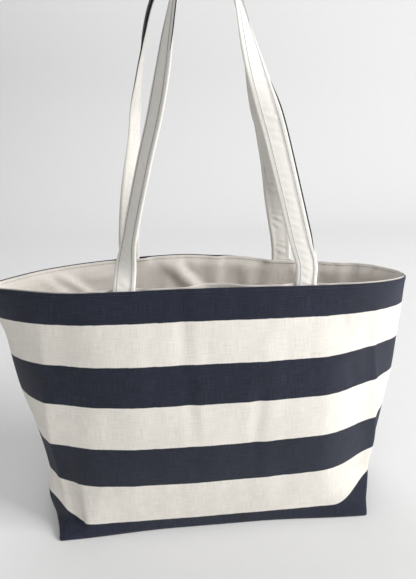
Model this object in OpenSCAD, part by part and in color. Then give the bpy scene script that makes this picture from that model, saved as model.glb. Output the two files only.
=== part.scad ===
// Striped canvas tote bag with a boxed base, a loose lining and two carrying straps.
// The origin is the centre of the base. +Z is up and the front faces -Y.

/* [Bag body] */
// Height of the rim above the base
bag_h = 344; // [280:1:420]
// Width of the open rim, from side seam to side seam
rim_w = 515; // [430:1:620]
// Depth of the open mouth, front to back
mouth_d = 121; // [90:1:160]
// Width of the base
base_w = 422; // [350:1:520]
// Depth of the base, front to back
base_d = 140; // [100:1:180]
// How far the front and back swell outward at mid height
belly = 15; // [0:1:25]
// How far each side swells outward at mid height
side_belly = 8; // [0:1:15]
// How much lower the rim is at the side seams than at the middle
rim_dip = 13; // [0:1:20]

/* [Cloth] */
// Thickness of the outer canvas
canvas_t = 0.9; // [0.6:0.1:1.5]
// Thickness of the stiffening cloth behind the canvas
interlining_t = 1; // [0.5:0.1:2]
// Thickness of the lining
lining_t = 0.6; // [0.4:0.1:1.2]
// Air between two layers of cloth
layer_gap = 0.25; // [0.2:0.05:0.5]
// Half of the gap along the side seams and the seam under the base
seam_gap = 0.1; // [0.05:0.05:0.3]

/* [Straps] */
// Width of a strap
strap_w = 25.4; // [18:0.2:32]
// Thickness of one ply of a strap
ply_t = 1.1; // [0.8:0.1:1.6]
// Distance between the middles of a strap's two feet
strap_spacing = 205; // [150:1:260]
// Height of the top of a loop above the rim
loop_h = 360; // [300:1:450]
// Inner bend radius at the top of a loop
top_r = 10; // [8:1:16]
// How far along X the top of the front loop stands from the middle
front_top_x = -8; // [-20:1:20]
// How far along X the top of the back loop stands from the middle
back_top_x = -16; // [-20:1:20]
// Length of a strap end sewn in under the rim
strap_end_h = 32; // [20:1:60]

/* [Stitching] */
// Thickness of the sewing thread
thread_t = 0.4; // [0.3:0.05:0.6]
// Distance of the rim's stitch row below the rim
rim_row_drop = 4; // [2:0.5:8]
// Distance of a strap's stitch rows from its edges
strap_row_in = 5; // [3:0.5:8]

/* [Clearances] */
// Gap between a loop's foot and the rim
foot_gap = 0.8; // [0.6:0.1:1.5]
// Gap between the two plies of a strap, and between a strap and its thread
ply_gap = 0.1; // [0.05:0.05:0.3]
// Gap between a sewn-in strap end and the cloth on either side
end_gap = 0.5; // [0.4:0.1:1]
// Gap between the rim and its thread
rim_thread_gap = 0.6; // [0.4:0.1:1]
// How far a sewn-in strap end stops below the rim
end_drop = 1.5; // [0.5:0.5:5]
// Gap between the two loops at the top, where they stand edge to edge
loops_gap = 3.6; // [2:0.2:30]

/* [Hidden] */

FRONT = -1;
BACK = 1;
LEFT = -1;
RIGHT = 1;
NAVY = "#262a3a";
CREAM = "#efeae0";
LINING = "#d8d0c4";
THREAD = "#cfc8b8";

side_steps = 4;      // facets along each short side of the base
front_steps = 18;    // facets along the front or back
rows = 9;            // rows of facets from base to rim
corner_power = 3.4;  // higher makes the mouth's ends blunter
blend_power = 0.88;  // how fast the base rectangle turns into the mouth's outline

strap_t = 2 * ply_t + ply_gap;
interlining_in = canvas_t + layer_gap;
strap_mid_in = interlining_in + interlining_t + end_gap + strap_t / 2;
lining_in = strap_mid_in + strap_t / 2 + end_gap;
inside = lining_in + lining_t;

end_steps = 6;       // pieces across a sewn-in strap end
leg_steps = 26;      // pieces along each leg of a loop
top_steps = 8;       // pieces round the top of a loop

function smooth(v, low, high) =
    let(u = min(1, max(0, (v - low) / (high - low)))) u * u * (3 - 2 * u);

// Outline of half the base, by the share s of its length, from the left seam to the right one.
function base_point(s, inset) =
    let(
        half_w = base_w / 2 - inset,
        half_d = base_d / 2 - inset,
        way = s * 2 * (half_w + half_d)
    )
    way < half_d ? [-half_w, way]
    : way < half_d + 2 * half_w ? [way - half_d - half_w, half_d]
    : [half_w, 2 * (half_w + half_d) - way];

// Outline of half the mouth, by the same share s.
function mouth_point(s, inset) =
    let(
        half_w = rim_w / 2 - inset,
        half_d = mouth_d / 2 - inset,
        x = (2 * s - 1) * half_w
    )
    [x, half_d * (1 - pow(abs(2 * s - 1), corner_power))];

// Height of the rim at share s.
function rim_z(s) = bag_h - rim_dip * pow(2 * s - 1, 2);

// A point of the cloth: side, share s along the half outline, share t of the height.
function cloth_point(side, s, t, inset) =
    let(
        low = base_point(s, inset),
        high = mouth_point(s, inset),
        w = pow(t, blend_power),
        bulge = sin(180 * min(1, t)),
        x = low[0] * (1 - w) + high[0] * w - side_belly * bulge * cos(180 * s),
        y = low[1] * (1 - w) + high[1] * w + belly * bulge * sin(180 * s)
    )
    [x, side * max(y, seam_gap), rim_z(s) * t];

// Shares s that put a facet edge on each base corner.
corner_s = base_d / (2 * (base_w + base_d));
function share(i) =
    i <= side_steps ? corner_s * i / side_steps
    : i <= side_steps + front_steps ?
        corner_s + (1 - 2 * corner_s) * (i - side_steps) / front_steps
    : 1 - corner_s * (2 * side_steps + front_steps - i) / side_steps;
half_count = 2 * side_steps + front_steps;

// Half a ring of cloth points, from the left seam to the right one.
function half_ring(side, t, inset, lift) =
    [for (i = [0:half_count]) cloth_point(side, share(i), t, inset) + [0, 0, lift]];

// One half of a layer of cloth between two insets: a wall with its half of the floor.
module layer(side, outer_in, inner_in) {
    n = half_count + 1;
    m = n * (rows + 1);
    insets = [outer_in, inner_in];
    points = concat(
        [for (inset = insets, k = [0:rows])
            each half_ring(side, k / rows, inset, inset * (1 - k / rows))],
        [for (inset = insets) [0, side * base_d / 4, inset]]
    );
    outside = [for (k = [0:rows - 1], i = [0:n - 2])
        let(a = k * n + i)
        each [[a, a + n, a + n + 1], [a, a + n + 1, a + 1]]];
    inner = [for (f = outside) [for (j = [2:-1:0]) m + f[j]]];
    rim = [for (i = [0:n - 2])
        let(a = rows * n + i)
        each [[a, m + a, m + a + 1], [a, m + a + 1, a + 1]]];
    floors = [for (i = [0:n - 1])
        let(j = (i + 1) % n)
        each [[i, j, 2 * m], [m + j, m + i, 2 * m + 1]]];
    under_seam = [[n - 1, m + n - 1, m], [n - 1, m, 0]];
    left_seam = [for (k = [0:rows - 1])
        let(a = k * n)
        each [[m + a, m + a + n, a + n], [m + a, a + n, a]]];
    right_seam = [for (k = [0:rows - 1])
        let(a = k * n + n - 1)
        each [[a, a + n, m + a + n], [a, m + a + n, m + a]]];
    faces = concat(outside, inner, rim, floors, under_seam, left_seam, right_seam);
    turned = [for (f = faces) [for (j = [len(f) - 1:-1:0]) f[j]]];
    polyhedron(points, side < 0 ? faces : turned, convexity = 6);
}

// Where a strap's middle meets the rim.
foot_s = 0.5 + strap_spacing / (2 * (rim_w - 2 * strap_mid_in));
foot_y = mouth_point(foot_s, strap_mid_in)[1];
foot_z = rim_z(foot_s);

// A sewn-in strap end: it lies between the interlining and the lining and follows their curve.
module strap_end(side, hand) {
    width_share = strap_w / (2 * (rim_w - 2 * strap_mid_in));
    middle = 0.5 + hand * (foot_s - 0.5);
    high = 1 - end_drop / bag_h;
    n = end_steps + 1;
    points = [for (t = [high - strap_end_h / bag_h, high],
            inset = [strap_mid_in - strap_t / 2, strap_mid_in + strap_t / 2],
            i = [0:end_steps])
        cloth_point(side, middle + width_share * (2 * i / end_steps - 1), t, inset)];
    ring = [for (row = [0, 2 * n]) [
        for (i = [0:end_steps]) row + i,
        for (i = [end_steps:-1:0]) row + n + i
    ]];
    count = 2 * n;
    walls = [for (i = [0:count - 1])
        let(j = (i + 1) % count)
        each [[ring[0][i], ring[1][i], ring[1][j]], [ring[0][i], ring[1][j], ring[0][j]]]];
    caps = [for (i = [0:end_steps - 1])
        let(a = i, b = n + i, c = 2 * n + i, d = 3 * n + i)
        each [[a, a + 1, b + 1], [a, b + 1, b], [c, d + 1, c + 1], [c, d, d + 1]]];
    faces = concat(walls, caps);
    turned = [for (f = faces) [for (j = [2:-1:0]) f[j]]];
    color(CREAM) polyhedron(points, side < 0 ? faces : turned, convexity = 4);
}

// Loops. Each stands in a plane that leans in from its feet to the middle of the bag's depth.
top_y = (strap_w + loops_gap) / 2;
mid_r = top_r + strap_t / 2;
leg_top = loop_h - mid_r;
lean = atan2(foot_y - top_y, loop_h);

// How far a leg has turned about its own length, in degrees, at height h above the rim:
// a first turn to an angle between two heights, then on to 90 degrees between two more.
FRONT_LEFT_TURN = [48, 2, 60, 190, 345];
FRONT_RIGHT_TURN = [0, 0, 1, 165, 340];
BACK_LEFT_TURN = [68, 30, 180, 180, 300];
BACK_RIGHT_TURN = [40, 30, 140, 140, 330];
function leg_turn(h, turn) =
    turn[0] * smooth(h, turn[1], turn[2]) + (90 - turn[0]) * smooth(h, turn[3], turn[4]);

function bezier(a, b, c, d, u) =
    a * pow(1 - u, 3) + 3 * b * u * pow(1 - u, 2) + 3 * c * u * u * (1 - u) + d * pow(u, 3);

// A leg from its foot to the loop's top, in the loop's own plane.
function leg_point(hand, top_x, u) =
    let(
        foot = [hand * strap_spacing / 2, foot_gap],
        rise = [hand * strap_spacing / 2, foot_gap + 50],
        end = [top_x + hand * mid_r, leg_top],
        near = end + (rise - end) * 0.4
    )
    bezier(foot, rise, near, end, u);

// Stations along a loop: [x, height, turn in degrees, direction in the plane in degrees].
function leg_station(hand, top_x, turn, u) =
    let(
        p = leg_point(hand, top_x, u),
        a = leg_point(hand, top_x, max(0, u - 0.01)),
        b = leg_point(hand, top_x, min(1, u + 0.01)),
        way = u == 0 ? 90 : atan2(b[1] - a[1], b[0] - a[0])
    )
    [p[0], p[1], leg_turn(p[1], turn), hand < 0 ? way : way - 180];

function loop_stations(top_x, left_turn, right_turn) = concat(
    [for (i = [0:leg_steps - 1]) leg_station(LEFT, top_x, left_turn, i / leg_steps)],
    [for (i = [0:top_steps])
        let(a = 180 - 180 * i / top_steps)
        [top_x + mid_r * cos(a), leg_top + mid_r * sin(a), 90, a - 90]],
    [for (i = [leg_steps - 1:-1:0]) leg_station(RIGHT, top_x, right_turn, i / leg_steps)]
);
front_loop = loop_stations(front_top_x, FRONT_LEFT_TURN, FRONT_RIGHT_TURN);
back_loop = loop_stations(back_top_x, BACK_LEFT_TURN, BACK_RIGHT_TURN);

// A strip along a loop, between two limits over the strap's thickness. It has an edge at each
// place across the strap, and its two faces are split the same way, so that plies never touch.
module loop_strip(side, stations, across, proud) {
    up = [0, -side * sin(lean), cos(lean)];
    out = [0, -cos(lean), -side * sin(lean)];
    foot = [0, side * foot_y, foot_z];
    last = len(stations) - 1;
    m = len(across);
    n = 2 * m;
    points = [for (s = stations)
        let(
            away = [-sin(s[3]), cos(s[3])],
            along = [cos(s[3]), 0, 0] + up * sin(s[3]),
            outward = [away[0], 0, 0] + up * away[1],
            normal = out * cos(s[2]) - side * outward * sin(s[2]),
            b = cross(along, normal),
            mid = foot + [s[0], 0, 0] + up * s[1]
        )
        for (p = proud, a = across) mid + b * a + normal * p];
    low = [for (k = [0:last - 1], j = [0:m - 2])
        let(a = k * n + j)
        each [[a, a + n + 1, a + 1], [a, a + n, a + n + 1]]];
    high = [for (f = low) [for (j = [2:-1:0]) m + f[j]]];
    edges = [for (k = [0:last - 1])
        let(a = k * n, b = a + m - 1)
        each [[a, a + m, a + m + n], [a, a + m + n, a + n],
            [b, b + n, b + m + n], [b, b + m + n, b + m]]];
    ends = [for (j = [0:m - 2])
        let(b = last * n + j)
        each [[j, j + 1, j + 1 + m], [j, j + 1 + m, j + m],
            [b, b + m, b + m + 1], [b, b + m + 1, b + 1]]];
    polyhedron(points, concat(low, high, edges, ends), convexity = 8);
}

// Places across a strap's ply that get an edge: both borders and both stitch rows.
row_at = strap_w / 2 - strap_row_in;
ply_places = [-strap_w / 2, -row_at, -row_at / 2, 0, row_at / 2, row_at, strap_w / 2];

module strap_face(side, stations) {
    color(CREAM)
        loop_strip(side, stations, ply_places, [ply_gap / 2, strap_t / 2]);
}

module strap_backing(side, stations) {
    color(NAVY)
        loop_strip(side, stations, ply_places, [-strap_t / 2, -ply_gap / 2]);
}

module strap_topstitch(side, stations) {
    near = strap_t / 2 + ply_gap;
    color(THREAD)
        for (at = [-row_at, row_at], face = [1, -1])
            loop_strip(side, stations, [at - thread_t / 2, at + thread_t / 2],
                face > 0 ? [near, near + thread_t / 2] : [-near - thread_t / 2, -near]);
}

// A thread all round the mouth, on one face of the cloth.
module rim_thread(inset) {
    t = 1 - rim_row_drop / bag_h;
    half = thread_t / 2;
    count = 2 * half_count;
    points = [for (c = [[-half, -half], [half, -half], [half, half], [-half, half]])
        each concat(
            [for (i = [0:half_count - 1]) cloth_point(FRONT, share(i), t, inset + c[0]) + [0, 0, c[1]]],
            [for (i = [half_count:-1:1]) cloth_point(BACK, share(i), t, inset + c[0]) + [0, 0, c[1]]]
        )];
    faces = [for (k = [0:3], i = [0:count - 1])
        let(a = k * count + i, b = k * count + (i + 1) % count)
        let(c = (a + count) % (4 * count), d = (b + count) % (4 * count))
        each [[a, d, b], [a, c, d]]];
    polyhedron(points, faces, convexity = 6);
}

module outer_front_panel() { color(NAVY) layer(FRONT, 0, canvas_t); }
module outer_back_panel() { color(NAVY) layer(BACK, 0, canvas_t); }
module front_interlining() {
    color("white") layer(FRONT, interlining_in, interlining_in + interlining_t);
}
module back_interlining() {
    color("white") layer(BACK, interlining_in, interlining_in + interlining_t);
}
module front_lining() { color(LINING) layer(FRONT, lining_in, inside); }
module back_lining() { color(LINING) layer(BACK, lining_in, inside); }
module front_left_strap_end() { strap_end(FRONT, LEFT); }
module front_right_strap_end() { strap_end(FRONT, RIGHT); }
module back_left_strap_end() { strap_end(BACK, LEFT); }
module back_right_strap_end() { strap_end(BACK, RIGHT); }
module rim_topstitch() {
    color(THREAD) {
        rim_thread(-thread_t / 2 - rim_thread_gap);
        rim_thread(inside + thread_t / 2 + rim_thread_gap);
    }
}
module front_strap_face() { strap_face(FRONT, front_loop); }
module front_strap_backing() { strap_backing(FRONT, front_loop); }
module front_strap_topstitch() { strap_topstitch(FRONT, front_loop); }
module back_strap_face() { strap_face(BACK, back_loop); }
module back_strap_backing() { strap_backing(BACK, back_loop); }
module back_strap_topstitch() { strap_topstitch(BACK, back_loop); }

outer_front_panel();
outer_back_panel();
front_interlining();
back_interlining();
front_lining();
back_lining();
front_left_strap_end();
front_right_strap_end();
back_left_strap_end();
back_right_strap_end();
rim_topstitch();
front_strap_face();
front_strap_backing();
front_strap_topstitch();
back_strap_face();
back_strap_backing();
back_strap_topstitch();
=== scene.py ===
"""Striped canvas tote bag: cloth, lining, straps, stitching and a plain studio stage."""

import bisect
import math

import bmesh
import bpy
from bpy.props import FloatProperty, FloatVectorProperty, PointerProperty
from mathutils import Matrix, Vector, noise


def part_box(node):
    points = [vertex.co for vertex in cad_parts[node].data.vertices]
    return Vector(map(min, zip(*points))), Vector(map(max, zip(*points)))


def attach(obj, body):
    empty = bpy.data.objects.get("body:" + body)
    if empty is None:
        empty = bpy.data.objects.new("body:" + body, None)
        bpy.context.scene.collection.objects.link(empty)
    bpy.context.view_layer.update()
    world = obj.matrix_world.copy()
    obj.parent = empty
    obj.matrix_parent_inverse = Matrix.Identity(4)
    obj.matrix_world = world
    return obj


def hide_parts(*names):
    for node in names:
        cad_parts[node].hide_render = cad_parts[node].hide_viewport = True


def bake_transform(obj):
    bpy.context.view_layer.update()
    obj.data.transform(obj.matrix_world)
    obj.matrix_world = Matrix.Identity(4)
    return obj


bl_info = {
    "name": "Striped canvas tote bag",
    "version": (1, 0, 0),
    "blender": (4, 5, 0),
    "location": "3D View > Sidebar > Tote Bag",
    "description": "Builds a striped canvas tote bag around its packed frame",
    "category": "Add Mesh",
}

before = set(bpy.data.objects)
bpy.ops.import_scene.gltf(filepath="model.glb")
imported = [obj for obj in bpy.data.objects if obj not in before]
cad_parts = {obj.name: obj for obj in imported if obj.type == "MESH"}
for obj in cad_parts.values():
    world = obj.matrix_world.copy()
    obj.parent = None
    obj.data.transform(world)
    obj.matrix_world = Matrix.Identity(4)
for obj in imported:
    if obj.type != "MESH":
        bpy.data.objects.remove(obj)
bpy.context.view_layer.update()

MM = 0.001
FRONT, BACK = -1, 1
LEFT, RIGHT = -1, 1
SIDE_NAMES = {FRONT: "front", BACK: "back"}

PANEL_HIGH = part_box("outer_front_panel")[1]
RIM_WIDTH = 2 * PANEL_HIGH[0]
BAG_HEIGHT = PANEL_HIGH[2]
LOOP_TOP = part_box("front_strap_face")[1][2]

SIDE_COLUMNS = 14  # columns of cloth squares across each half gusset
FRONT_COLUMNS = 84  # columns across the front or the back
WALL_ROWS = 72  # rows from the base up to the rim
FLEECE_ROWS = 36  # rows of the hidden stiffening layer
MOUTH_POWER = 3.0  # a higher power keeps the mouth deep for longer towards its ends
MOUTH_ROUND = 0.667  # a lower power makes the very ends of the mouth blunter
BLEND_POWER = 0.88  # how fast the base rectangle turns into the mouth


# ---------------------------------------------------------------- sizes and colours


class ToteBodySizes(bpy.types.PropertyGroup):
    """Sizes of the bag's body."""

    height: FloatProperty(
        name="Height", description="Height of the rim above the base",
        default=BAG_HEIGHT, min=0.2, max=0.5, subtype="DISTANCE", unit="LENGTH")
    rim_width: FloatProperty(
        name="Rim width", description="Width of the mouth between the side seams",
        default=RIM_WIDTH, min=0.3, max=0.8, subtype="DISTANCE", unit="LENGTH")
    mouth_depth: FloatProperty(
        name="Mouth depth", description="Depth of the open mouth, front to back",
        default=0.121, min=0.05, max=0.2, subtype="DISTANCE", unit="LENGTH")
    base_width: FloatProperty(
        name="Base width", description="Width of the base",
        default=0.422, min=0.3, max=0.6, subtype="DISTANCE", unit="LENGTH")
    base_depth: FloatProperty(
        name="Base depth", description="Depth of the base, front to back",
        default=0.140, min=0.05, max=0.25, subtype="DISTANCE", unit="LENGTH")
    belly: FloatProperty(
        name="Belly", description="How far the front and back swell at mid height",
        default=0.015, min=0, max=0.03, subtype="DISTANCE", unit="LENGTH")
    side_belly: FloatProperty(
        name="Side belly", description="How far the sides swell at mid height",
        default=0.008, min=0, max=0.02, subtype="DISTANCE", unit="LENGTH")
    rim_dip: FloatProperty(
        name="Rim dip", description="How much lower the rim is at the side seams",
        default=0.013, min=0, max=0.03, subtype="DISTANCE", unit="LENGTH")
    canvas: FloatProperty(
        name="Canvas", description="Thickness of the outer canvas",
        default=0.0009, min=0.0005, max=0.002, subtype="DISTANCE", unit="LENGTH")
    stripe_edges: FloatVectorProperty(
        name="Stripe edges", description="Heights of the edges between stripes",
        default=(0.019, 0.085, 0.145, 0.204, 0.256, 0.307), size=6, unit="LENGTH")


class ToteStrapSizes(bpy.types.PropertyGroup):
    """Sizes of the two straps."""

    width: FloatProperty(
        name="Width", description="Width of a strap",
        default=0.0254, min=0.015, max=0.04, subtype="DISTANCE", unit="LENGTH")
    ply: FloatProperty(
        name="Ply", description="Thickness of one ply of a strap",
        default=0.0011, min=0.0005, max=0.002, subtype="DISTANCE", unit="LENGTH")
    spacing: FloatProperty(
        name="Spacing", description="Distance between a strap's two feet",
        default=0.205, min=0.1, max=0.3, subtype="DISTANCE", unit="LENGTH")
    top_radius: FloatProperty(
        name="Top radius", description="Bend radius at the top of a loop",
        default=0.01115, min=0.005, max=0.03, subtype="DISTANCE", unit="LENGTH")
    apart: FloatProperty(
        name="Apart", description="Distance between the loops at the top",
        default=0.029, min=0.027, max=0.06, subtype="DISTANCE", unit="LENGTH")
    row_in: FloatProperty(
        name="Stitch rows in", description="Distance of a stitch row from the strap's edge",
        default=0.005, min=0.002, max=0.01, subtype="DISTANCE", unit="LENGTH")
    sewn_in: FloatProperty(
        name="Sewn in", description="Length of the ribbon that dips under the rim",
        default=0.012, min=0.005, max=0.06, subtype="DISTANCE", unit="LENGTH")


class ToteColours(bpy.types.PropertyGroup):
    """Colours of the cloths and threads."""

    navy: FloatVectorProperty(
        name="Navy", description="Dark stripes and strap backing",
        default=(0.0145, 0.0180, 0.0330), size=3, subtype="COLOR", min=0, max=1)
    cream: FloatVectorProperty(
        name="Cream", description="Light stripes",
        default=(0.80, 0.765, 0.70), size=3, subtype="COLOR", min=0, max=1)
    lining: FloatVectorProperty(
        name="Lining", description="Cotton lining",
        default=(0.720, 0.680, 0.632), size=3, subtype="COLOR", min=0, max=1)
    strap: FloatVectorProperty(
        name="Strap", description="Cream side of the straps",
        default=(0.84, 0.815, 0.76), size=3, subtype="COLOR", min=0, max=1)
    thread: FloatVectorProperty(
        name="Thread", description="Strap stitching",
        default=(0.20, 0.22, 0.27), size=3, subtype="COLOR", min=0, max=1)
    rim_thread: FloatVectorProperty(
        name="Rim thread", description="Stitching on the lining side of the rim",
        default=(0.27, 0.21, 0.16), size=3, subtype="COLOR", min=0, max=1)


# ---------------------------------------------------------------- shape of the bag

# Keys below are (level of the height, amount in metres), for each end of the bag.
GUSSET_PUSH = {  # how far the filled-out sides stand out
    LEFT: ((0, 0), (0.02, 0.007), (0.13, 0.011), (0.24, 0.001), (0.4, 0.001), (0.62, 0.005),
           (0.85, 0.004), (1, 0)),
    RIGHT: ((0, 0), (0.05, 0.003), (0.16, 0.008), (0.32, 0.011), (0.52, 0.007), (0.85, -0.001)),
}
CORNER_TUCK = {  # how far the fold above each boxed corner goes in
    LEFT: ((0, 0), (0.06, 0.017), (0.15, 0.014), (0.27, 0.007), (0.50, 0.0)),
    RIGHT: ((0, 0), (0.05, 0.002), (0.10, 0.002), (0.30, 0.0)),
}
CORNER_ROUND = {  # how far the upright corners are rounded off
    LEFT: ((0.04, 0), (0.25, 0.006), (0.7, 0.006), (1, 0)),
    RIGHT: ((0.04, 0), (0.20, 0.020), (0.6, 0.018), (1, 0)),
}
# Places below count in half gussets from the side seam, so a base corner lies at 1.
GUSSET_REACH = {LEFT: (0.5, 1.3), RIGHT: (1.0, 2.4)}  # where the push fades out
TUCK_PLACE = {LEFT: (1.10, 0.48), RIGHT: (0.95, 0.55)}  # middle and half width of the fold
ROUND_PLACE = (1.0, 1.1)  # middle and half width of the rounding
LAYER_TUCK = 55  # how much further the inner layers tuck, per metre of depth
TUCK_DEPTH = 0.5  # share of the tuck that also goes front to back

# Cloth taken up by a boxed corner: amount in metres, and where it fades out round the corner.
CORNER_TAKE_UP = {LEFT: (0.050, 0.66, 1.20), RIGHT: (0.075, 0.60, 1.70)}
TAKE_UP_LEVELS = (0.06, 0.36)  # and up the wall
# The rim's rise and fall: (place from -1 at the left seam to 1 at the right one, metres).
RIM_LIFT = {
    FRONT: ((-1, 0.004), (-0.9, 0.005), (-0.6, 0.001), (1, 0)),
    BACK: ((-1, 0.004), (-0.8, 0.0055), (-0.5, 0.005), (-0.15, 0.0055), (0.08, 0.002),
           (0.35, -0.005), (0.65, -0.0045), (0.88, 0), (1, 0)),
}
RIM_LEVELS = (0.80, 1.0)  # levels over which the rim's own shape comes in
BASE_SPREAD = 0.008  # how far the base's corners stand out in front and behind
SPREAD_LEVELS = (0.0, 0.06)
MOUTH_PULL = {LEFT: -0.014, RIGHT: -0.004}  # how far the ends of the mouth are pulled aside

# Waves of the outer cloth: how close they lie across and up the wall, and their height in mm.
SOFT_WAVE = (0.55, 1.1, 2.6)
UPRIGHT_WAVE = (1.9, 0.8, 1.4)
FINE_WAVE = (6.0, 7.0, 0.35)
# Creases of the outer cloth: place at the rim, lean, and depth in mm.
CREASES = ((-0.16, 0.10, 1.7), (0.23, -0.12, 2.1), (0.56, 0.16, 1.4))
CREASE_HALF_WIDTH = 0.045


def ease(value, low, high):
    """A smooth step from 0 at low to 1 at high."""
    u = min(1.0, max(0.0, (value - low) / (high - low)))
    return u * u * (3 - 2 * u)


def along_keys(value, keys):
    """A smooth curve through (place, amount) pairs, flat beyond both ends."""
    for (a, low), (b, high) in zip(keys, keys[1:]):
        if value < b:
            return low + (high - low) * ease(value, a, b)
    return keys[-1][1]


def hump(value, middle, half_width):
    """A smooth bump of height 1 that is 0 beyond half_width of its middle."""
    u = abs(value - middle) / half_width
    return 0.0 if u >= 1 else (1 - u * u) ** 2


def drift(x, y, z):
    """Smooth noise at a place, between -1 and 1."""
    return noise.noise(Vector((x, y, z)))


def corner_share(body):
    """Share of the half outline at which the base corner lies."""
    return body.base_depth / (2 * (body.base_width + body.base_depth))


def base_outline(body, share, inset):
    """A point of half the base's outline, from the left seam to the right one."""
    half_w = body.base_width / 2 - inset
    half_d = body.base_depth / 2 - inset
    way = share * 2 * (half_w + half_d)
    if way < half_d:
        return -half_w, way
    if way < half_d + 2 * half_w:
        return way - half_d - half_w, half_d
    return half_w, 2 * (half_w + half_d) - way


def mouth_outline(body, share, inset):
    """A point of half the mouth's outline at the same share."""
    half_w = body.rim_width / 2 - inset
    half_d = body.mouth_depth / 2 - inset
    across = 2 * share - 1
    return across * half_w, half_d * (1 - abs(across) ** MOUTH_POWER) ** MOUTH_ROUND


def rim_height(body, share):
    """Height of the rim, which dips towards the side seams."""
    return body.height - body.rim_dip * (2 * share - 1) ** 2


def wrinkle(side, share, level):
    """How far the outer cloth stands out in waves and creases, in metres."""
    across = share * 11 + side * 3.7
    waves = (
        SOFT_WAVE[2] * drift(across * SOFT_WAVE[0], level * SOFT_WAVE[1], side * 5.0)
        + UPRIGHT_WAVE[2] * drift(across * UPRIGHT_WAVE[0], level * UPRIGHT_WAVE[1], 9.0 + side)
        + FINE_WAVE[2] * drift(across * FINE_WAVE[0], level * FINE_WAVE[1], 4.0))
    middle = 2 * share - 1
    creases = 0.0
    for start, lean, depth in CREASES:
        line = hump(middle, start + lean * (1 - level), CREASE_HALF_WIDTH)
        broken = 0.6 + drift(level * 7.0, start * 9.0, 1.5)
        creases += depth * line * ease(level, 0.15, 0.6) * broken
    hold = ease(level, 0.0, 0.12) * (0.35 + 0.65 * ease(1 - level, 0.0, 0.25))
    return hold * (waves - creases) * MM


def end_and_place(body, share):
    """Which end of the bag a share lies at, and its place there in half gussets."""
    hand = LEFT if share < 0.5 else RIGHT
    return hand, min(share, 1 - share) / corner_share(body)


def cloth_point(body, side, share, level, inset):
    """A point of the bag's cloth: share of the half outline, level of the height."""
    low = base_outline(body, share, inset)
    high = mouth_outline(body, share, inset)
    mix = max(level, 0.0) ** BLEND_POWER
    bulge = math.sin(math.pi * min(1.0, level))
    middle = 2 * share - 1
    x = low[0] * (1 - mix) + high[0] * mix - body.side_belly * bulge * math.cos(math.pi * share)
    y = low[1] * (1 - mix) + high[1] * mix + body.belly * bulge * math.sin(math.pi * share)
    hand, near = end_and_place(body, share)
    x += hand * along_keys(level, GUSSET_PUSH[hand]) * (1 - ease(near, *GUSSET_REACH[hand]))
    tuck = along_keys(level, CORNER_TUCK[hand]) * hump(near, *TUCK_PLACE[hand])
    tuck *= 1 + LAYER_TUCK * inset
    x -= hand * tuck
    y -= TUCK_DEPTH * tuck + along_keys(level, CORNER_ROUND[hand]) * hump(near, *ROUND_PLACE)
    widest = 0.25 + 0.75 * ease(abs(middle), 0.2, 1 - 2 * corner_share(body))
    y += BASE_SPREAD * min(near, 1.0) * widest * (1 - ease(level, *SPREAD_LEVELS))
    x += MOUTH_PULL[hand] * abs(middle) ** 6 * ease(level, *RIM_LEVELS)
    y += wrinkle(side, share, level) * math.sin(math.pi * share) ** 0.5
    lift = along_keys(middle, RIM_LIFT[side]) * ease(level, *RIM_LEVELS)
    return Vector((x, side * max(y, 0.0001), rim_height(body, share) * level + lift))


def stripe_height(body, share, level):
    """Height along the cloth; the boxed corners take cloth up, so it lags behind there."""
    hand, near = end_and_place(body, share)
    amount, start, end = CORNER_TAKE_UP[hand]
    taken = amount * (1 - ease(near, start, end)) * (1 - ease(level, *TAKE_UP_LEVELS))
    return level * body.height - taken


def column_share(body, column):
    """Share of the half outline at a column of cloth, with one on each base corner."""
    corner = corner_share(body)
    if column <= SIDE_COLUMNS:
        return corner * column / SIDE_COLUMNS
    if column <= SIDE_COLUMNS + FRONT_COLUMNS:
        return corner + (1 - 2 * corner) * (column - SIDE_COLUMNS) / FRONT_COLUMNS
    return 1 - corner * (2 * SIDE_COLUMNS + FRONT_COLUMNS - column) / SIDE_COLUMNS


# ---------------------------------------------------------------- mesh helpers


def finish_mesh(bm, name):
    """Turn a bmesh into an object at the origin, in the scene."""
    mesh = bpy.data.meshes.new(name)
    bm.to_mesh(mesh)
    bm.free()
    for face in mesh.polygons:
        face.use_smooth = True
    piece = bpy.data.objects.new(name, mesh)
    bpy.context.scene.collection.objects.link(piece)
    return piece


def thicken(piece, thickness, rounded=True):
    """Give a sheet its thickness, inward, and one level of smoothing if rounded."""
    solid = piece.modifiers.new("thickness", "SOLIDIFY")
    solid.thickness = thickness
    solid.offset = -1
    solid.use_even_offset = True
    if rounded:
        smoothing = piece.modifiers.new("smoothing", "SUBSURF")
        smoothing.levels = 1
        smoothing.render_levels = 1


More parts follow.
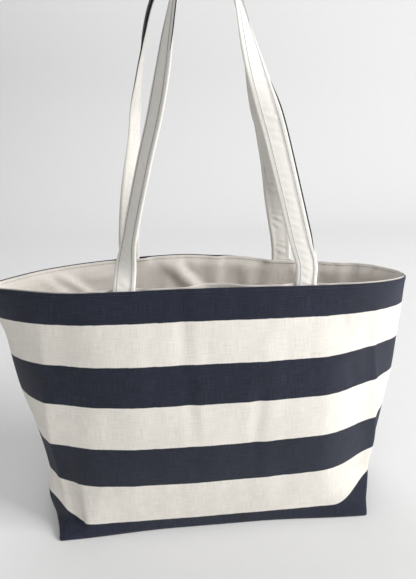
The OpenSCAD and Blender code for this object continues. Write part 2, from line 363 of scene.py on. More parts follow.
def half_layer(name, body, side, place, rows=WALL_ROWS):
    """A wall of cloth with its half of the floor, placed by place(share, level)."""
    columns = 2 * SIDE_COLUMNS + FRONT_COLUMNS
    bm = bmesh.new()
    uv = bm.loops.layers.uv.new("cloth")
    girth = body.base_width + body.base_depth
    wall = bmesh.ops.create_grid(bm, x_segments=columns, y_segments=rows, size=0.5)
    flat = {}
    for vert in wall["verts"]:
        share = column_share(body, round((vert.co.x + 0.5) * columns))
        level = vert.co.y + 0.5
        flat[vert] = ((share - 0.5) * girth, stripe_height(body, share, level))
        vert.co = place(share, level)
    floor = bmesh.ops.create_grid(
        bm, x_segments=FRONT_COLUMNS, y_segments=SIDE_COLUMNS, size=0.5)
    for vert in floor["verts"]:
        column = round((vert.co.x + 0.5) * FRONT_COLUMNS) + SIDE_COLUMNS
        inward = vert.co.y + 0.5
        edge = place(column_share(body, column), 0.0)
        seam = Vector((edge.x, place(0.0, 0.0).y, edge.z))
        flat[vert] = (edge.x, -inward * abs(seam.y - edge.y))
        vert.co = edge.lerp(seam, inward)
    for face in bm.faces:
        for loop in face.loops:
            loop[uv].uv = flat[loop.vert]
    bmesh.ops.remove_doubles(bm, verts=bm.verts[:], dist=0.2 * MM)
    bmesh.ops.recalc_face_normals(bm, faces=bm.faces[:])
    bm.faces.ensure_lookup_table()
    middle = min(bm.faces, key=lambda f: (
        f.calc_center_median() - Vector((0, side * body.base_depth / 2, body.height / 2))
    ).length)
    if middle.normal.y * side < 0:
        bmesh.ops.reverse_faces(bm, faces=bm.faces[:])
    return finish_mesh(bm, name)


# ---------------------------------------------------------------- materials


def node_group(name, inputs, outputs):
    """A new shader node group with named float or vector sockets."""
    group = bpy.data.node_groups.new(name, "ShaderNodeTree")
    for label, kind, value in inputs:
        socket = group.interface.new_socket(label, in_out="INPUT", socket_type=kind)
        if value is not None:
            socket.default_value = value
    for label, kind in outputs:
        group.interface.new_socket(label, in_out="OUTPUT", socket_type=kind)
    return group


def add(tree, kind, **values):
    """A new node with its properties set."""
    made = tree.nodes.new(kind)
    for key, value in values.items():
        setattr(made, key, value)
    return made


def math_node(tree, operation, first, second=None, third=None):
    """A Math node fed by sockets or numbers; gives its output."""
    made = add(tree, "ShaderNodeMath", operation=operation)
    for socket, value in zip(made.inputs, (first, second, third)):
        if value is None:
            continue
        if isinstance(value, (int, float)):
            socket.default_value = value
        else:
            tree.links.new(value, socket)
    return made.outputs[0]


def stretched_noise(tree, vector, scale, detail):
    """Noise drawn out along one direction of the cloth."""
    mapping = add(tree, "ShaderNodeMapping")
    mapping.inputs["Scale"].default_value = scale
    tree.links.new(vector, mapping.inputs["Vector"])
    speckle = add(tree, "ShaderNodeTexNoise")
    speckle.inputs["Scale"].default_value = 1.0
    speckle.inputs["Detail"].default_value = detail
    speckle.inputs["Roughness"].default_value = 0.55
    tree.links.new(mapping.outputs[0], speckle.inputs["Vector"])
    return speckle.outputs[0]


def weave_group():
    """Plain weave: the height of the threads, slubs along both ways, and soft blotches."""
    group = node_group(
        "plain_weave",
        [("Vector", "NodeSocketVector", None), ("Pitch", "NodeSocketFloat", 0.0008)],
        [("Height", "NodeSocketFloat"), ("Slub", "NodeSocketFloat"),
         ("Blotch", "NodeSocketFloat")],
    )
    source = add(group, "NodeGroupInput")
    result = add(group, "NodeGroupOutput")
    split = add(group, "ShaderNodeSeparateXYZ")
    group.links.new(source.outputs["Vector"], split.inputs[0])
    waves = []
    for axis in ("X", "Y"):
        turn = math_node(group, "DIVIDE", split.outputs[axis], source.outputs["Pitch"])
        waves.append(math_node(group, "SINE", math_node(group, "MULTIPLY", turn, math.tau)))
    crossing = math_node(group, "MULTIPLY", waves[0], waves[1])
    threads = math_node(group, "MULTIPLY_ADD", crossing, 0.5, 0.5)
    weft = stretched_noise(group, source.outputs["Vector"], (45, 1300, 1), 2)
    warp = stretched_noise(group, source.outputs["Vector"], (1300, 45, 1), 2)
    slub = math_node(group, "MULTIPLY", math_node(group, "ADD", weft, warp), 0.5)
    blotch = stretched_noise(group, source.outputs["Vector"], (14, 10, 1), 3)
    height = math_node(group, "MULTIPLY_ADD", slub, 1.6, threads)
    group.links.new(height, result.inputs["Height"])
    group.links.new(slub, result.inputs["Slub"])
    group.links.new(blotch, result.inputs["Blotch"])
    return group


def mixed(tree, factor, first, second):
    """A colour mix; first and second are sockets or colours."""
    mix = add(tree, "ShaderNodeMix", data_type="RGBA")
    colour_inputs = [s for s in mix.inputs if s.type == "RGBA"]
    factor_input = mix.inputs["Factor"]
    if isinstance(factor, (int, float)):
        factor_input.default_value = factor
    else:
        tree.links.new(factor, factor_input)
    for socket, value in zip(colour_inputs, (first, second)):
        if isinstance(value, bpy.types.NodeSocket):
            tree.links.new(value, socket)
        else:
            socket.default_value = (*value[:3], 1)
    return [s for s in mix.outputs if s.type == "RGBA"][0]


def remap(tree, value, low, high, to_low=0.0, to_high=1.0):
    """A Map Range node from low..high, clamped."""
    made = add(tree, "ShaderNodeMapRange")
    made.inputs["From Min"].default_value = low
    made.inputs["From Max"].default_value = high
    made.inputs["To Min"].default_value = to_low
    made.inputs["To Max"].default_value = to_high
    tree.links.new(value, made.inputs["Value"])
    return made.outputs["Result"]


def cloth_material(name, pitch, roughness, sheen, bump, paint, flat=True):
    """A woven cloth; paint(tree, weave, place) gives its base colour.

    flat cloth is woven along its own flat pattern, and other pieces along the object.
    """
    material = bpy.data.materials.new(name)
    material.use_nodes = True
    tree = material.node_tree
    shader = tree.nodes["Principled BSDF"]
    shader.inputs["Roughness"].default_value = roughness
    shader.inputs["Specular IOR Level"].default_value = 0.25
    shader.inputs["Sheen Weight"].default_value = sheen
    shader.inputs["Sheen Roughness"].default_value = 0.5
    if flat:
        place = add(tree, "ShaderNodeUVMap", uv_map="cloth").outputs[0]
    else:
        place = add(tree, "ShaderNodeTexCoord").outputs["Object"]
    weave = add(tree, "ShaderNodeGroup")
    weave.node_tree = bpy.data.node_groups.get("plain_weave") or weave_group()
    weave.inputs["Pitch"].default_value = pitch
    tree.links.new(place, weave.inputs["Vector"])
    colour = paint(tree, weave, place)
    tree.links.new(colour, shader.inputs["Base Color"])
    relief = add(tree, "ShaderNodeBump")
    relief.inputs["Strength"].default_value = bump
    relief.inputs["Distance"].default_value = 0.0003
    tree.links.new(weave.outputs["Height"], relief.inputs["Height"])
    tree.links.new(relief.outputs[0], shader.inputs["Normal"])
    return material


def shaded(tree, weave, colour, slub_amount, blotch_amount):
    """A colour varied by the weave's slubs and blotches."""
    slub = remap(tree, weave.outputs["Slub"], 0.36, 0.64, 1 - slub_amount, 1 + slub_amount)
    blotch = remap(
        tree, weave.outputs["Blotch"], 0.3, 0.7, 1 - blotch_amount, 1 + blotch_amount)
    both = math_node(tree, "MULTIPLY", slub, blotch)
    scale = add(tree, "ShaderNodeVectorMath", operation="SCALE")
    if isinstance(colour, bpy.types.NodeSocket):
        tree.links.new(colour, scale.inputs[0])
    else:
        scale.inputs[0].default_value = colour[:3]
    tree.links.new(both, scale.inputs["Scale"])
    return scale.outputs[0]


def stripe_material(colours, edges):
    """Navy and cream stripes across the cloth's own height."""

    def paint(tree, weave, uv):
        split = add(tree, "ShaderNodeSeparateXYZ")
        tree.links.new(uv, split.inputs[0])
        wander = stretched_noise(tree, uv, (90, 2, 1), 2)
        height = math_node(
            tree, "ADD", split.outputs["Y"], math_node(
                tree, "MULTIPLY", math_node(tree, "SUBTRACT", wander, 0.5), 0.0012))
        cream_share = None
        soft = 0.00035
        for number, edge in enumerate(edges):
            step = remap(tree, height, edge - soft, edge + soft)
            sign = "ADD" if number % 2 == 0 else "SUBTRACT"
            cream_share = step if cream_share is None else math_node(
                tree, sign, cream_share, step)
        navy = shaded(tree, weave, colours.navy, 0.55, 0.14)
        cream = shaded(tree, weave, colours.cream, 0.11, 0.045)
        return mixed(tree, cream_share, navy, cream)

    return cloth_material(
        "woven_stripes", pitch=0.0009, roughness=0.85, sheen=0.12, bump=0.5, paint=paint)


def plain_material(name, colour, pitch, sheen, bump, slub, blotch, flat=True):
    """A plain woven cloth of one colour."""

    def paint(tree, weave, place):
        return shaded(tree, weave, colour, slub, blotch)

    return cloth_material(
        name, pitch=pitch, roughness=0.88, sheen=sheen, bump=bump, paint=paint, flat=flat)


def thread_material(name, colour):
    """Twisted sewing thread, with fine diagonal shading."""
    material = bpy.data.materials.new(name)
    material.use_nodes = True
    tree = material.node_tree
    shader = tree.nodes["Principled BSDF"]
    shader.inputs["Roughness"].default_value = 0.6
    place = add(tree, "ShaderNodeTexCoord")
    twist = add(tree, "ShaderNodeTexWave", wave_type="BANDS", bands_direction="DIAGONAL")
    twist.inputs["Scale"].default_value = 900
    tree.links.new(place.outputs["Object"], twist.inputs["Vector"])
    dark = [c * 0.7 for c in colour]
    ply = mixed(tree, twist.outputs[1], dark, colour)
    tree.links.new(ply, shader.inputs["Base Color"])
    return material


def dress(piece, material):
    """Give a piece its material, as its only slot."""
    piece.data.materials.clear()
    piece.data.materials.append(material)


def shared_material(name, make):
    """A material by name, made once."""
    return bpy.data.materials.get(name) or make()


# ---------------------------------------------------------------- straps


# Turn of each leg about its own length: (height above the rim in mm, degrees).
LEG_TURNS = {
    (FRONT, LEFT): ((2, 0), (60, 48), (190, 48), (345, 90)),
    (FRONT, RIGHT): ((0, 0), (165, 0), (340, 90)),
    (BACK, LEFT): ((30, 0), (180, 68), (225, 84), (262, 97), (300, 99), (345, 90)),
    (BACK, RIGHT): ((30, 0), (140, 40), (330, 90)),
}
# Middle of each leg of a strap in the loop's plane: sideways and height above the rim, in mm.
LEG_LINES = {
    (FRONT, LEFT): ((-102.5, 0), (-94, 54), (-75, 130), (-58, 192), (-40, 276)),
    (FRONT, RIGHT): ((102.5, 0), (102, 24), (93, 54), (63, 160), (41, 225), (25, 278)),
    (BACK, LEFT): ((-105, 0), (-103, 35), (-95, 100), (-85, 175), (-75, 232), (-60, 287)),
    (BACK, RIGHT): ((101, 0), (98, 25), (90, 62), (68, 161), (57, 194), (32, 288)),
}
TOP_X = {FRONT: -0.008, BACK: -0.016}  # where the top of each loop lies, sideways
STRAP_INSET = 0.0038  # from the outer face of the canvas to the middle of a strap
TOP_GAP = 0.0004  # how far the middle line stops short of the loop's top
SEWN_STEPS = 8  # steps along the end that is sewn in
SPAN_STEPS = 24  # steps between two points of a leg
BEND_STEPS = 32  # steps round the top
RIBBON_STEP = 2.6 * MM  # length of one square of a strap ply
STRAP_COLUMNS = 14  # squares across a ply
PLY_GAP = 0.1 * MM  # between the two plies
NAVY_NARROWER = 0.0026  # how much narrower the navy ply is than the cream one
WRAP = 0.0012  # how far the cream ply's borders fold round the navy one

# Stretches where the navy ply shows beside the cream one: the leg, and the lengths from the
# leg's own end over which it comes in and goes out.
NAVY_SHOWS = {
    FRONT: ((LEFT, (0.25, 0.28), (0.32, 0.36)), (RIGHT, (0.04, 0.07), (0.20, 0.24))),
    BACK: ((LEFT, (0.265, 0.29), (0.34, 0.37)),),
}

# Relief of a ply, in mm.
QUILT = 0.34  # swell between the two stitch rows
EDGE_QUILT = 0.30  # swell between a stitch row and the edge
LIP = 0.30  # fall of the border
CURL = 0.5  # most that the edges curl up or down
STRAP_WAVE = 0.7  # most that the whole strap waves
PUCKER_PITCH = 0.0095  # metres from one pucker to the next


def curve_through(points, steps):
    """Points of a smooth curve through the given ones, steps to each span."""
    ends = [2 * points[0] - points[1], *points, points[-1] + Vector((0, 0.02))]
    line = []
    for a, b, c, d in zip(ends, ends[1:], ends[2:], ends[3:]):
        for i in range(steps):
            u = i / steps
            line.append(0.5 * (2 * b + (c - a) * u + (2 * a - 5 * b + 4 * c - d) * u * u
                               + (3 * b - a - 3 * c + d) * u**3))
    return line


class Loop:
    """The middle line of one strap, with its turn, at even steps of length."""

    def __init__(self, body, straps, side):
        self.side = side
        self.straps = straps
        share = 0.5 + straps.spacing / (2 * (body.rim_width - 2 * STRAP_INSET))
        foot_y = mouth_outline(body, share, STRAP_INSET)[1]
        self.foot = Vector((0, side * foot_y, rim_height(body, share)))
        height = LOOP_TOP - self.foot.z
        lean = math.atan2(foot_y - straps.apart / 2, height)
        self.up = Vector((0, -side * math.sin(lean), math.cos(lean)))
        self.out = Vector((0, -math.cos(lean), -side * math.sin(lean)))
        self.top = (height - TOP_GAP) / math.cos(lean)
        self.samples = self.even_steps(self.leg(LEFT) + self.bend() + self.leg(RIGHT)[::-1])

    def leg(self, hand):
        """Places and turns up one leg, from its sewn-in end."""
        straps = self.straps
        end = Vector((TOP_X[self.side] + hand * straps.top_radius, self.top - straps.top_radius))
        points = [Vector(p) * MM for p in LEG_LINES[self.side, hand]] + [end]
        turns = LEG_TURNS[self.side, hand]
        sewn = [
            (points[0] - Vector((0, straps.sewn_in * (1 - i / SEWN_STEPS))), 0.0)
            for i in range(SEWN_STEPS)]
        return sewn + [
            (p, math.radians(along_keys(p.y / MM, turns)))
            for p in curve_through(points, SPAN_STEPS)]

    def bend(self):
        """Places and turns round the top."""
        radius = self.straps.top_radius
        middle = Vector((TOP_X[self.side], self.top - radius))
        return [
            (middle + radius * Vector((-math.cos(a), math.sin(a))), math.pi / 2)
            for a in (math.pi * i / BEND_STEPS for i in range(BEND_STEPS + 1))]

    def even_steps(self, points):
        """Samples of (place, along, outward normal, across, way) every few millimetres."""
        lengths = [0.0]
        for a, b in zip(points, points[1:]):
            lengths.append(lengths[-1] + (b[0] - a[0]).length)
        self.length = lengths[-1]
        count = round(self.length / RIBBON_STEP)
        samples = []
        k = 0
        for i in range(count + 1):
            want = self.length * i / count
            while k < len(points) - 2 and lengths[k + 1] < want:
                k += 1
            share = (want - lengths[k]) / max(lengths[k + 1] - lengths[k], 1e-9)
            p = points[k][0].lerp(points[k + 1][0], share)
            turn = points[k][1] + (points[k + 1][1] - points[k][1]) * share
            samples.append((p, turn))
        result = []
        for i, (p, turn) in enumerate(samples):
            a = samples[max(0, i - 1)][0]
            b = samples[min(count, i + 1)][0]
            way = (b - a).normalized()
            along = Vector((way.x, 0, 0)) + self.up * way.y
            away = Vector((-way.y, 0, 0)) + self.up * way.x
            normal = self.out * math.cos(turn) - away * (self.side * math.sin(turn))
            place = self.foot + Vector((p.x, 0, 0)) + self.up * p.y
            result.append((place, along, normal, along.cross(normal), i / count * self.length))
        return result

    def at(self, way):
        """Place, along, normal and across at a length from the left end."""
        f = way / self.length * (len(self.samples) - 1)
        i = min(int(f), len(self.samples) - 2)
        u = f - i
        a, b = self.samples[i], self.samples[i + 1]
        return tuple(a[k].lerp(b[k], u) for k in range(4))


def navy_shows(loop, way):
    """How much the navy ply shows at a length: 1 on the left leg, -1 on the right one."""
    shown = 0.0
    for hand, start, end in NAVY_SHOWS[loop.side]:
        from_foot = way if hand == LEFT else loop.length - way
        shown -= hand * ease(from_foot, *start) * (1 - ease(from_foot, *end))
    return shown


def strap_ply(name, loop, face, width, slip, wrap):
    """One ply of a strap: face 1 is the cream side and -1 the navy side.

    slip(way) moves the ply sideways on the other one, and wrap(way) is how far its
    borders fold round the other one.
    """
    straps = loop.straps
    count = len(loop.samples) - 1
    bm = bmesh.new()
    uv = bm.loops.layers.uv.new("cloth")
    grid = bmesh.ops.create_grid(bm, x_segments=STRAP_COLUMNS, y_segments=count, size=0.5)
    flat = {}
    middle = (straps.ply + PLY_GAP) / 2
    row = 1 - 2 * straps.row_in / straps.width
    for vert in grid["verts"]:
        u = vert.co.x
        place, _, normal, across, way = loop.samples[round((vert.co.y + 0.5) * count)]
        edge = abs(2 * u)
        quilt = QUILT * hump(edge, 0, row)
        quilt += EDGE_QUILT * hump(edge, (1 + row) / 2, (1 - row) / 2)
        drawn = drift(way * 45, u * 0.8, 7.0 + loop.side)
        pucker = math.sin(math.tau * (way / PUCKER_PITCH + u * 1.3) + 4 * drawn)
        pucker *= (0.25 + 0.5 * drawn) * (1 - ease(edge, 0.75 * row, row))
        lip = -(LIP * MM + wrap(way)) / MM * ease(edge, 0.88, 1.0)
        curl = CURL * (2 * u) ** 2 * drift(way * 14, 3.0, loop.side)
        wave = STRAP_WAVE * drift(way * 22, 8.0, loop.side)
        proud = face * (middle + (quilt + lip) * MM) + (curl + wave + pucker) * MM
        vert.co = place + across * (u * width + slip(way)) + normal * proud
        flat[vert] = (u * width, way)
    for bm_face in bm.faces:
        for bm_loop in bm_face.loops:
            bm_loop[uv].uv = flat[bm_loop.vert]
    bm.faces.ensure_lookup_table()
    if bm.faces[STRAP_COLUMNS // 2].normal.dot(loop.samples[0][2]) * face < 0:
        bmesh.ops.reverse_faces(bm, faces=bm.faces[:])
    piece = finish_mesh(bm, name)
    thicken(piece, straps.ply)
    return piece


STITCH_SIDES = 6  # sides of a thread
STITCH_PITCH = 3.2 * MM  # from one stitch to the next
STRAP_THREAD = 0.22 * MM  # radius of the thread in the straps
STRAP_PROUD = 0.20 * MM  # how far its stitches rise from the cloth
RIM_THREADS = {"outside": 0.25 * MM, "inside": 0.34 * MM}  # radius of the thread round the rim
RIM_PROUD = 0.22 * MM
THREAD_INSET = 0.0007  # from the lining's outer face to the thread on its inner one
RIM_ROW_DROP = 0.004  # how far below the rim its stitch row lies
RIM_ROW_ENDS = 3  # steps left free at each side seam
RIM_ROW_STEPS = 400
STITCH_STEPS = (0.0, 0.08, 0.3, 0.55, 0.75, 0.86)  # stations along one stitch
STITCH_HEIGHTS = (-1.0, 0.3, 1.0, 1.0, 0.3, -1.0)  # how proud of the cloth each one stands


def sewing_row(bm, at, length, radius, proud):
    """A sewing thread that dives into the cloth between stitches.

    at(way) gives a point of the cloth, the way along it and the way out of it.
    """
    stitches = int(length / STITCH_PITCH)
    stations = [
        ((i + 0.5 * (1 - STITCH_STEPS[-1]) + step) * STITCH_PITCH, height)
        for i in range(stitches) for step, height in zip(STITCH_STEPS, STITCH_HEIGHTS)]
    roll = bmesh.ops.create_grid(
        bm, x_segments=STITCH_SIDES, y_segments=len(stations) - 1, size=0.5)
    frames = []
    for way, height in stations:
        place, along, out = at(min(way, length))
        along, out = along.normalized(), out.normalized()
        frames.append((place + out * (proud * height), along.cross(out), out))
    for vert in roll["verts"]:
        turn = (vert.co.x + 0.5) * math.tau
        middle, aside, out = frames[round((vert.co.y + 0.5) * (len(stations) - 1))]
        vert.co = middle + (aside * math.cos(turn) + out * math.sin(turn)) * radius


def rim_row(bm, line, facing, radius):
    """A thread along a line of points; facing is 1 or -1, the side of the line it is seen from."""
    ways = [0.0]
    for a, b in zip(line, line[1:]):
        ways.append(ways[-1] + (b - a).length)

    def lie(way):
        i = min(bisect.bisect_right(ways, way) - 1, len(line) - 2)
        step = line[i + 1] - line[i]
        share = (way - ways[i]) / (ways[i + 1] - ways[i])
        return line[i] + step * share, step, step.cross(Vector((0, 0, 1))) * facing

    sewing_row(bm, lie, ways[-1], radius, RIM_PROUD)


def close_rows(bm):
    """Join the long seam of every rolled thread and face it outward."""
    bmesh.ops.remove_doubles(bm, verts=bm.verts[:], dist=0.01 * MM)
    bmesh.ops.holes_fill(bm, edges=[e for e in bm.edges if e.is_boundary], sides=STITCH_SIDES)
    bmesh.ops.recalc_face_normals(bm, faces=bm.faces[:])


def strap_stitches(name, loop):
    """Thread along both edges of both faces of a strap."""
    straps = loop.straps
    bm = bmesh.new()
    row = straps.width / 2 - straps.row_in
    for face in (1, -1):
        for aside in (-row, row):
            def lie(way, aside=aside, face=face):
                middle, along, normal, across = loop.at(way)
                out = normal * face
                return middle + across * aside + out * (straps.ply + PLY_GAP), along, out

            sewing_row(bm, lie, loop.length, STRAP_THREAD, STRAP_PROUD)
    close_rows(bm)
    return finish_mesh(bm, name)


# ---------------------------------------------------------------- operators


class TOTE_OT_outer_panels(bpy.types.Operator):
    """Make the striped outer canvas, front and back"""

    bl_idname = "tote.outer_panels"
    bl_label = "Outer canvas"

    def execute(self, context):
        body = context.scene.tote_body
        colours = context.scene.tote_colours
        material = shared_material(
            "woven_stripes", lambda: stripe_material(colours, body.stripe_edges))
        for side in (FRONT, BACK):
            def place(share, level, side=side):
                return cloth_point(body, side, share, level, 0.0)

            name = SIDE_NAMES[side]
            piece = half_layer(f"{name}_canvas", body, side, place)
            thicken(piece, body.canvas)
            dress(piece, material)
            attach(piece, "bag")
            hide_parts(f"outer_{name}_panel")
        return {"FINISHED"}


FLEECE_THICK = 0.0008
FLEECE_INSET = 0.0013  # from the outer face of the canvas
FLEECE_CORNER = 0.0027  # how much deeper it lies in the folds above the boxed corners
FLEECE_LEVELS = (0.004, 0.985)  # level of its base, and its height as a share of the wall


class TOTE_OT_interlining(bpy.types.Operator):
    """Make the hidden stiffening layers"""

    bl_idname = "tote.interlining"
    bl_label = "Interlining"

    def execute(self, context):
        body = context.scene.tote_body
        material = shared_material("interlining_fleece", lambda: plain_material(
            "interlining_fleece", (0.72, 0.72, 0.70),
            pitch=0.0006, sheen=0.05, bump=0.2, slub=0.04, blotch=0.03))
        for side in (FRONT, BACK):
            def place(share, level, side=side):
                corner = hump(min(share, 1 - share) / corner_share(body), 0.9, 1.2)
                inset = FLEECE_INSET + FLEECE_CORNER * corner * (1 - ease(level, 0.05, 0.3))
                base, height = FLEECE_LEVELS
                return cloth_point(body, side, share, level * height + base, inset)

            name = SIDE_NAMES[side]
            piece = half_layer(f"{name}_fleece", body, side, place, rows=FLEECE_ROWS)
            thicken(piece, FLEECE_THICK, rounded=False)
            dress(piece, material)
            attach(piece, "bag")
            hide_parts(f"{name}_interlining")
        return {"FINISHED"}


LINING_THICK = 0.0006
LINING_INSET = 0.0058  # from the outer face of the canvas, down in the bag
LINING_OVER_STRAP = 0.0006  # how much deeper it passes over a strap's end
LINING_CLOSER = 0.0038  # how much closer it comes to the canvas at the rim
LINING_BASE_LIFT = 0.0056  # how far its floor lies above the bag's base
# Slanting folds of the back lining: place at the rim, lean, half width, height in mm, and the
# share of the depth over which each one comes in.
SLANTS = ((-0.80, 1.4, 0.035, 4.0, 0.06), (-0.86, 1.0, 0.030, 2.2, 0.05))
# Upright folds of the back lining: place, half width and height in mm.
UPRIGHTS = ((0.55, 0.04, 1.3), (0.72, 0.05, 1.6))
PLEAT = (-0.137, 1.4)  # place and lean of the deep pleat in the middle
GATHER_PITCH = 70  # the rim's gathers: how close they lie


def back_lining_fold(across, depth):
    """Folds of the back lining in mm, by place across and share of the depth."""
    fold = 0.0
    for start, lean, half_width, height, full in SLANTS:
        fold += height * hump(across, start + lean * depth, half_width) * ease(depth, 0.01, full)
    fold += 1.6 * hump(depth, 0.062, 0.022) * hump(across, -0.57, 0.11)
    pleat = PLEAT[0] + PLEAT[1] * max(0.0, depth - 0.05)
    fold += 5.0 * hump(across, pleat - 0.05, 0.075) * ease(depth, 0.0, 0.05)
    fold -= 1.6 * hump(across, pleat + 0.03, 0.04) * ease(depth, 0.02, 0.08)
    fold += 2.0 * ease(across, -0.02, 0.055) * (1 - ease(across, 0.060, 0.085))
    for middle, half_width, height in UPRIGHTS:
        fold += height * hump(across, middle, half_width)
    return fold


def front_lining_fold(across, depth):
    """Folds of the front lining in mm: it stands away from the rim in the middle."""
    fold = 6.5 * hump(across, 0.0, 0.16) * (1 - ease(depth, 0.02, 0.12))
    return fold + 1.5 * hump(across, -0.06, 0.05) * (1 - ease(depth, 0.01, 0.05))


def lining_fold(side, share, level):
    """Loose folds of the lining, in metres, inward from where it would lie flat."""
    across = 2 * share - 1
    depth = 1 - level
    shape = back_lining_fold if side == BACK else front_lining_fold
    loose = drift(across * 5.5, level * 4.0, 2.0 + side)
    fine = drift(across * 16.0, level * 6.0, 6.0 + side)
    slack = (2.6 * (loose + 0.4) + 1.1 * fine) * ease(depth, 0.0, 0.07)
    gathers = (1 + math.sin(across * GATHER_PITCH + 5 * fine)) * (0.7 + drift(across * 9, 1, 7))
    gathers *= hump(depth, 0.03, 0.05) * (0.2 + 0.8 * ease(across, 0.3, 0.6))
    return max(-0.4, shape(across, depth) + slack + gathers) * MM


def lining_point(body, straps, side, share, level, further=0.0):
    """A point of the lining: it closes up to the canvas at the rim and passes over the straps."""
    across = 2 * share - 1
    rim = ease(level, 0.96, 1.0)
    strap_share = straps.spacing / body.rim_width
    aside = abs(abs(across) - strap_share) * body.rim_width / straps.width
    over_strap = 1 - ease(aside, 1.15, 2.2)
    inset = LINING_INSET + LINING_OVER_STRAP * over_strap
    inset -= LINING_CLOSER * rim * (1 - over_strap)
    inset += further + lining_fold(side, share, level)
    point = cloth_point(body, side, share, level, inset)
    if side == FRONT:
        lift = 0.0010 + 0.0016 * hump(across, 0.0, 0.16)
    else:
        lift = -0.0007 + 0.0022 * ease(across, 0.05, 0.25)
    point.z += LINING_BASE_LIFT * (1 - level) + lift * rim
    return point


class TOTE_OT_lining(bpy.types.Operator):
    """Make the loose cotton lining, front and back"""

    bl_idname = "tote.lining"
    bl_label = "Lining"

    def execute(self, context):
        body = context.scene.tote_body
        straps = context.scene.tote_straps
        colours = context.scene.tote_colours
        material = shared_material("woven_lining", lambda: plain_material(
            "woven_lining", colours.lining,
            pitch=0.0005, sheen=0.05, bump=0.5, slub=0.09, blotch=0.06))
        for side in (FRONT, BACK):
            def place(share, level, side=side):
                return lining_point(body, straps, side, share, level)

            name = SIDE_NAMES[side]
            piece = half_layer(f"{name}_lining_cloth", body, side, place)
            thicken(piece, LINING_THICK)
            dress(piece, material)
            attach(piece, "bag")
            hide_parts(f"{name}_lining")
        return {"FINISHED"}


class TOTE_OT_straps(bpy.types.Operator):
    """Make both straps, each of a cream and a navy ply, with their stitch rows"""

    bl_idname = "tote.straps"
    bl_label = "Straps"

    def execute(self, context):
        body = context.scene.tote_body
        straps = context.scene.tote_straps
        colours = context.scene.tote_colours
        cream = shared_material("strap_cream", lambda: plain_material(
            "strap_cream", colours.strap,
            pitch=0.0006, sheen=0.08, bump=0.5, slub=0.06, blotch=0.04))
        navy = shared_material("strap_navy", lambda: plain_material(
            "strap_navy", colours.navy,
            pitch=0.0006, sheen=0.12, bump=0.4, slub=0.3, blotch=0.1))
        thread = shared_material(
            "strap_thread", lambda: thread_material("strap_thread", colours.thread))
        for side in (FRONT, BACK):
            name = SIDE_NAMES[side]
            loop = Loop(body, straps, side)

            def slip(way, loop=loop):
                return NAVY_NARROWER * navy_shows(loop, way) if loop.side == FRONT else 0.0

            def wrap(way, loop=loop):
                return WRAP * (1 - abs(navy_shows(loop, way)))

            face = strap_ply(
                f"{name}_strap_cream_ply", loop, 1, straps.width, lambda way: 0.0, wrap)
            backing = strap_ply(
                f"{name}_strap_navy_ply", loop, -1, straps.width - NAVY_NARROWER, slip,
                lambda way: 0.0)
            stitches = strap_stitches(f"{name}_strap_stitches", loop)
            dress(face, cream)
            dress(backing, navy)
            dress(stitches, thread)
            for piece in (face, backing, stitches):
                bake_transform(piece)
            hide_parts(f"{name}_strap_face")
            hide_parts(f"{name}_strap_backing")
            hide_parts(f"{name}_strap_topstitch")
        return {"FINISHED"}


class TOTE_OT_strap_ends(bpy.types.Operator):
    """Give the sewn-in strap ends their cloth"""

    bl_idname = "tote.strap_ends"
    bl_label = "Strap ends"

    def execute(self, context):
        colours = context.scene.tote_colours
        material = shared_material("strap_end_cloth", lambda: plain_material(
            "strap_end_cloth", colours.strap,
            pitch=0.0006, sheen=0.08, bump=0.4, slub=0.06, blotch=0.04, flat=False))
        for side in (FRONT, BACK):
            for hand in ("left", "right"):
                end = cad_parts[f"{SIDE_NAMES[side]}_{hand}_strap_end"]
                for place in end.material_slots:
                    place.material = material
        return {"FINISHED"}


class TOTE_OT_rim_stitching(bpy.types.Operator):
    """Make the topstitching round the mouth, outside and inside"""

    bl_idname = "tote.rim_stitching"
    bl_label = "Rim stitching"

    def execute(self, context):
        body = context.scene.tote_body
        colours = context.scene.tote_colours
        outer = shared_material("rim_thread_navy", lambda: thread_material(
            "rim_thread_navy", [c * 1.6 for c in colours.navy]))
        inner = shared_material("rim_thread_pale", lambda: thread_material(
            "rim_thread_pale", colours.rim_thread))
        straps = context.scene.tote_straps
        level = 1 - RIM_ROW_DROP / body.height
        shares = [
            i / RIM_ROW_STEPS for i in range(RIM_ROW_ENDS, RIM_ROW_STEPS + 1 - RIM_ROW_ENDS)]
        for label, outward, material in (("outside", 1, outer), ("inside", -1, inner)):
            bm = bmesh.new()
            for side in (FRONT, BACK):
                if label == "outside":
                    line = [cloth_point(body, side, share, level, 0.0) for share in shares]
                else:
                    line = [
                        lining_point(body, straps, side, share, level, THREAD_INSET)
                        for share in shares]
                rim_row(bm, line, -side * outward, RIM_THREADS[label])
            close_rows(bm)
            piece = finish_mesh(bm, f"rim_stitches_{label}")
            dress(piece, material)
            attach(piece, "bag")
            if label == "outside":
                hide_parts("rim_topstitch")
        return {"FINISHED"}


CAMERA_PLACE = (-0.048, -0.4908, 0.511)
CAMERA_TURN = (5.03, 21.27, -0.31)  # to the right, down, and about its own axis, in degrees
LENS = 26.2  # in mm, for a frame whose long side is 36 mm
PAPER_TONES = (0.66, 0.68)  # darkest and lightest grain of the paper
PAPER_REACH = 4  # half the paper's length, in metres
PAPER_WIDER = 3  # how many times wider than long it is
PAPER_BACK = 1.0  # how far its middle lies behind the bag
PAPER_FLAT = 1.6  # where it starts to bend, behind the bag
PAPER_BEND = 0.8  # radius of its bend up into the wall
AIR_LIGHT = 0.38
LAMPS = (  # name, place, size and power
    ("key_window", (3.4, -1.25, 2.0), 1.6, 182),
    ("front_fill", (1.4, -2.3, 1.1), 1.4, 9),
    ("high_fill", (-0.3, -0.9, 2.7), 1.2, 8),
    ("top_fill", (-0.5, 1.7, 2.4), 2.2, 24),
)
LAMP_AIM = (0, 0, 0.3)


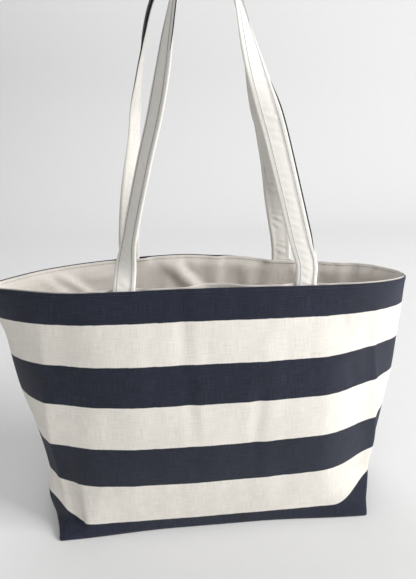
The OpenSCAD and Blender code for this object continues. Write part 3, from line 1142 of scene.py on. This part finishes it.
def make_camera(scene):
    """The camera that looks down into the bag from the front."""
    lens = bpy.data.cameras.new("tote_camera")
    lens.sensor_width = 36
    lens.lens = LENS
    lens.clip_start = 0.01
    camera = bpy.data.objects.new("tote_camera", lens)
    scene.collection.objects.link(camera)
    right, down, roll = (math.radians(angle) for angle in CAMERA_TURN)
    turn = Matrix.Rotation(-right, 4, "Z") @ Matrix.Rotation(math.pi / 2 - down, 4, "X")
    turn = turn @ Matrix.Rotation(roll, 4, "Z")
    camera.matrix_world = Matrix.Translation(CAMERA_PLACE) @ turn
    scene.camera = camera


def paper_material():
    """Matt pale paper with a faint grain."""
    paper = bpy.data.materials.new("studio_paper")
    paper.use_nodes = True
    tree = paper.node_tree
    shader = tree.nodes["Principled BSDF"]
    shader.inputs["Roughness"].default_value = 0.9
    shader.inputs["Specular IOR Level"].default_value = 0.1
    place = add(tree, "ShaderNodeTexCoord")
    grain = add(tree, "ShaderNodeTexNoise")
    grain.inputs["Scale"].default_value = 40
    tree.links.new(place.outputs["Object"], grain.inputs["Vector"])
    tone = mixed(tree, grain.outputs[0], *([shade] * 3 for shade in PAPER_TONES))
    tree.links.new(tone, shader.inputs["Base Color"])
    return paper


def make_floor():
    """A wide sheet of paper that bends up into a wall behind the bag."""
    bm = bmesh.new()
    bmesh.ops.create_grid(bm, x_segments=8, y_segments=96, size=PAPER_REACH)
    for vert in bm.verts:
        vert.co.x *= PAPER_WIDER
        along = vert.co.y + PAPER_BACK
        bend = min(max((along - PAPER_FLAT) / PAPER_BEND, 0.0), math.pi / 2)
        straight = max(along - PAPER_FLAT - PAPER_BEND * math.pi / 2, 0.0)
        vert.co.y = min(along, PAPER_FLAT) + PAPER_BEND * math.sin(bend)
        vert.co.z = PAPER_BEND * (1 - math.cos(bend)) + straight
    floor = finish_mesh(bm, "studio_floor")
    floor.data.materials.append(paper_material())


def make_lights(scene):
    """Even light from all round, and the soft lamps."""
    world = bpy.data.worlds.new("studio_air")
    world.use_nodes = True
    air = world.node_tree.nodes["Background"]
    air.inputs["Color"].default_value = (1, 1, 1, 1)
    air.inputs["Strength"].default_value = AIR_LIGHT
    scene.world = world
    for name, place, size, power in LAMPS:
        light = bpy.data.lights.new(name, "AREA")
        light.shape = "SQUARE"
        light.size = size
        light.energy = power
        lamp = bpy.data.objects.new(name, light)
        scene.collection.objects.link(lamp)
        aim = Vector(LAMP_AIM) - Vector(place)
        lamp.matrix_world = (
            Matrix.Translation(place) @ aim.to_track_quat("-Z", "Y").to_matrix().to_4x4())


class TOTE_OT_stage(bpy.types.Operator):
    """Set up the camera, a plain pale floor and soft studio light"""

    bl_idname = "tote.stage"
    bl_label = "Stage"

    def execute(self, context):
        scene = context.scene
        scene.view_settings.view_transform = "Standard"
        scene.view_settings.look = "None"
        make_camera(scene)
        make_floor()
        make_lights(scene)
        return {"FINISHED"}


STEPS = (
    TOTE_OT_stage,
    TOTE_OT_outer_panels,
    TOTE_OT_interlining,
    TOTE_OT_lining,
    TOTE_OT_straps,
    TOTE_OT_strap_ends,
    TOTE_OT_rim_stitching,
)


class TOTE_PT_bag(bpy.types.Panel):
    """Buttons that build the bag, in order, and its sizes and colours"""

    bl_idname = "TOTE_PT_bag"
    bl_label = "Tote bag"
    bl_space_type = "VIEW_3D"
    bl_region_type = "UI"
    bl_category = "Tote Bag"

    def draw(self, context):
        for step in STEPS:
            self.layout.operator(step.bl_idname)
        for group in (
                context.scene.tote_body, context.scene.tote_straps, context.scene.tote_colours):
            box = self.layout.box()
            for key in group.__annotations__:
                box.prop(group, key)


GROUPS = (ToteBodySizes, ToteStrapSizes, ToteColours)


def register():
    """Register the classes and hang the sizes on the scene."""
    for made in (*GROUPS, *STEPS, TOTE_PT_bag):
        bpy.utils.register_class(made)
    bpy.types.Scene.tote_body = PointerProperty(type=ToteBodySizes)
    bpy.types.Scene.tote_straps = PointerProperty(type=ToteStrapSizes)
    bpy.types.Scene.tote_colours = PointerProperty(type=ToteColours)


def unregister():
    """Take everything off again."""
    del bpy.types.Scene.tote_colours
    del bpy.types.Scene.tote_straps
    del bpy.types.Scene.tote_body
    for made in (TOTE_PT_bag, *reversed(STEPS), *reversed(GROUPS)):
        bpy.utils.unregister_class(made)


def main():
    """Build the bag step by step."""
    register()
    for step in STEPS:
        family, _, action = step.bl_idname.partition(".")
        getattr(getattr(bpy.ops, family), action)()


if __name__ == "__main__":
    main()
